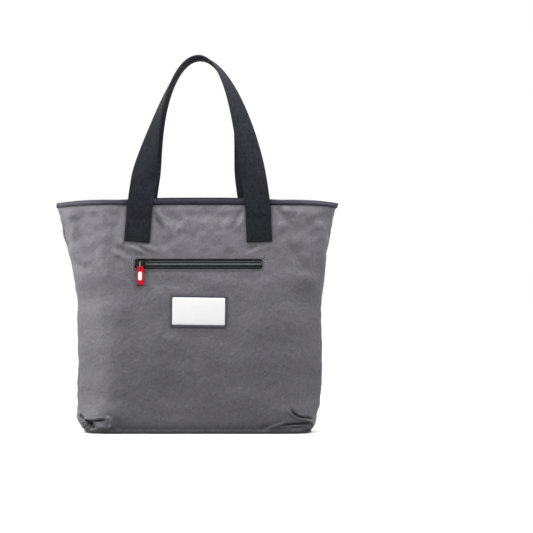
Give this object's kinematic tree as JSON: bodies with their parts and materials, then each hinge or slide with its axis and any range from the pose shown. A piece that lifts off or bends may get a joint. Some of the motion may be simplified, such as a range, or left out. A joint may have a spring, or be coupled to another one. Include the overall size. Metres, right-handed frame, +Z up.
{
  "type": "tote bag",
  "caption": "Open-topped fabric tote bag with a zipped front pocket, a stitched label patch, a bound rim and two upright webbing handles.",
  "frame": {"origin": "middle of the bag's outline seen from above, on the surface that it stands on", "axes": "+Z up, -Y towards the front with the pocket, +X to the right seen from the front"},
  "size_m": [0.4246, 0.092, 0.5661],
  "materials": {
    "body_cloth": "fine plain-woven grey polyester with a soft sheen",
    "lining_cloth": "thin dark lining cloth",
    "binding_tape": "ribbed dark grey binding tape",
    "webbing": "dense black-grey webbing",
    "thread": "sewing thread",
    "board": "plain stiffening sheet",
    "zip_tape": "dark woven zip tape",
    "zip_coil": "dark nylon coil",
    "slider": "gloss black enamel",
    "link_wire": "bright wire",
    "pull_tab": "red moulded soft plastic",
    "inlay": "white inlay",
    "label_backing": "dark navy moulded edge",
    "label_insert": "smooth white face"
  },
  "bodies": {
    "bag": {"front_panel": "body_cloth", "back_panel": "body_cloth", "base_panel": "body_cloth", "base_board": "board", "front_lining": "lining_cloth", "back_lining": "lining_cloth", "base_lining": "lining_cloth", "front_rim_binding": "binding_tape", "back_rim_binding": "binding_tape", "front_handle_left_end": "webbing", "front_handle_right_end": "webbing", "back_handle_left_end": "webbing", "back_handle_right_end": "webbing", "handle_stitching": "thread", "zip_upper_tape": "zip_tape", "zip_lower_tape": "zip_tape", "zip_upper_coil": "zip_coil", "zip_lower_coil": "zip_coil", "zip_top_stops": "zip_coil", "zip_bottom_stop": "zip_coil", "pocket_bag_front": "lining_cloth", "pocket_bag_back": "lining_cloth", "window_stitching": "thread", "label_backing": "label_backing", "label_insert": "label_insert"},
    "slider": {"slider_body": "slider", "slider_bridge": "slider"},
    "link": {"pull_link": "link_wire"},
    "tab": {"pull_tab": "pull_tab", "pull_tab_inlay": "inlay"},
    "front_handle": {"front_handle_loop": "webbing"},
    "back_handle": {"back_handle_loop": "webbing"}
  },
  "joints": [
    {"name": "zip_slide", "type": "slide", "parent": "bag", "child": "slider", "axis": [1, 0, 0], "range_m": [0, 0.175]},
    {"name": "link_swing", "type": "hinge", "parent": "slider", "child": "link", "pos_m": [-0.0875, -0.03821, 0.25537], "axis": [-1, 0, 0], "range_deg": [0, 90]},
    {"name": "tab_swing", "type": "hinge", "parent": "link", "child": "tab", "pos_m": [-0.0875, -0.03849, 0.25018], "axis": [-1, 0, 0], "range_deg": [0, 75]},
    {"name": "front_handle_fold", "type": "hinge", "parent": "bag", "child": "front_handle", "pos_m": [0, -0.03265, 0.333], "axis": [1, 0, 0], "range_deg": [0, 150]},
    {"name": "back_handle_fold", "type": "hinge", "parent": "bag", "child": "back_handle", "pos_m": [0, 0.03265, 0.333], "axis": [-1, 0, 0], "range_deg": [0, 160]}
  ]
}
